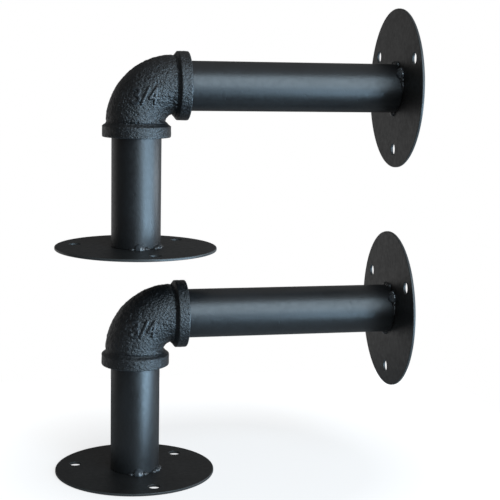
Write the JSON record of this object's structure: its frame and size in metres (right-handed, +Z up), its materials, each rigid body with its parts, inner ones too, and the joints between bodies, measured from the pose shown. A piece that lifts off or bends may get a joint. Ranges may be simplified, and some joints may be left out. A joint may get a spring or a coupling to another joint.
{
  "type": "pipe shelf brackets",
  "caption": "Wall-mounted pipe shelf brackets: round wall plate, arm pipe, banded elbow, short leg pipe and round foot plate with screw holes.",
  "frame": {"origin": "middle of the upper wall plate's back face, on the wall", "axes": "+Y out of the back of the wall plates into the wall, +Z up, so the arms reach out along -Y and the legs hang along -Z"},
  "size_m": [0.088, 0.1905, 0.2575],
  "materials": {
    "pipe_paint": "satin black paint",
    "plate_paint": "matt black paint",
    "elbow_paint": "satin black paint over a rough sand casting",
    "weld_paint": "satin black paint over a lumpy weld bead"
  },
  "bodies": {
    "arms": {"upper_wall_plate": "plate_paint", "upper_arm_pipe": "pipe_paint", "upper_wall_weld_front": "weld_paint", "upper_wall_weld_top": "weld_paint", "upper_wall_weld_under": "weld_paint", "lower_wall_plate": "plate_paint", "lower_arm_pipe": "pipe_paint", "lower_wall_weld_front": "weld_paint", "lower_wall_weld_top": "weld_paint", "lower_wall_weld_under": "weld_paint"},
    "upper_corner": {"upper_elbow": "elbow_paint"},
    "upper_leg": {"upper_leg_pipe": "pipe_paint", "upper_foot_plate": "plate_paint", "upper_foot_weld_front": "weld_paint", "upper_foot_weld_inner": "weld_paint", "upper_foot_weld_back": "weld_paint"},
    "lower_corner": {"lower_elbow": "elbow_paint"},
    "lower_leg": {"lower_leg_pipe": "pipe_paint", "lower_foot_plate": "plate_paint", "lower_foot_weld_front": "weld_paint", "lower_foot_weld_inner": "weld_paint", "lower_foot_weld_back": "weld_paint"}
  },
  "joints": [
    {"name": "upper_elbow_swivel", "type": "hinge", "parent": "arms", "child": "upper_corner", "pos_m": [0, -0.1465, 0], "axis": [0, 1, 0], "range_deg": [-90, 90]},
    {"name": "upper_leg_swivel", "type": "hinge", "parent": "upper_corner", "child": "upper_leg", "pos_m": [0, -0.1465, -0.0275], "axis": [0, 0, 1], "range_deg": [-180, 180]},
    {"name": "lower_elbow_swivel", "type": "hinge", "parent": "arms", "child": "lower_corner", "pos_m": [0, -0.1465, -0.125], "axis": [0, 1, 0], "range_deg": [-90, 90]},
    {"name": "lower_leg_swivel", "type": "hinge", "parent": "lower_corner", "child": "lower_leg", "pos_m": [0, -0.1465, -0.1525], "axis": [0, 0, 1], "range_deg": [-180, 180]}
  ]
}
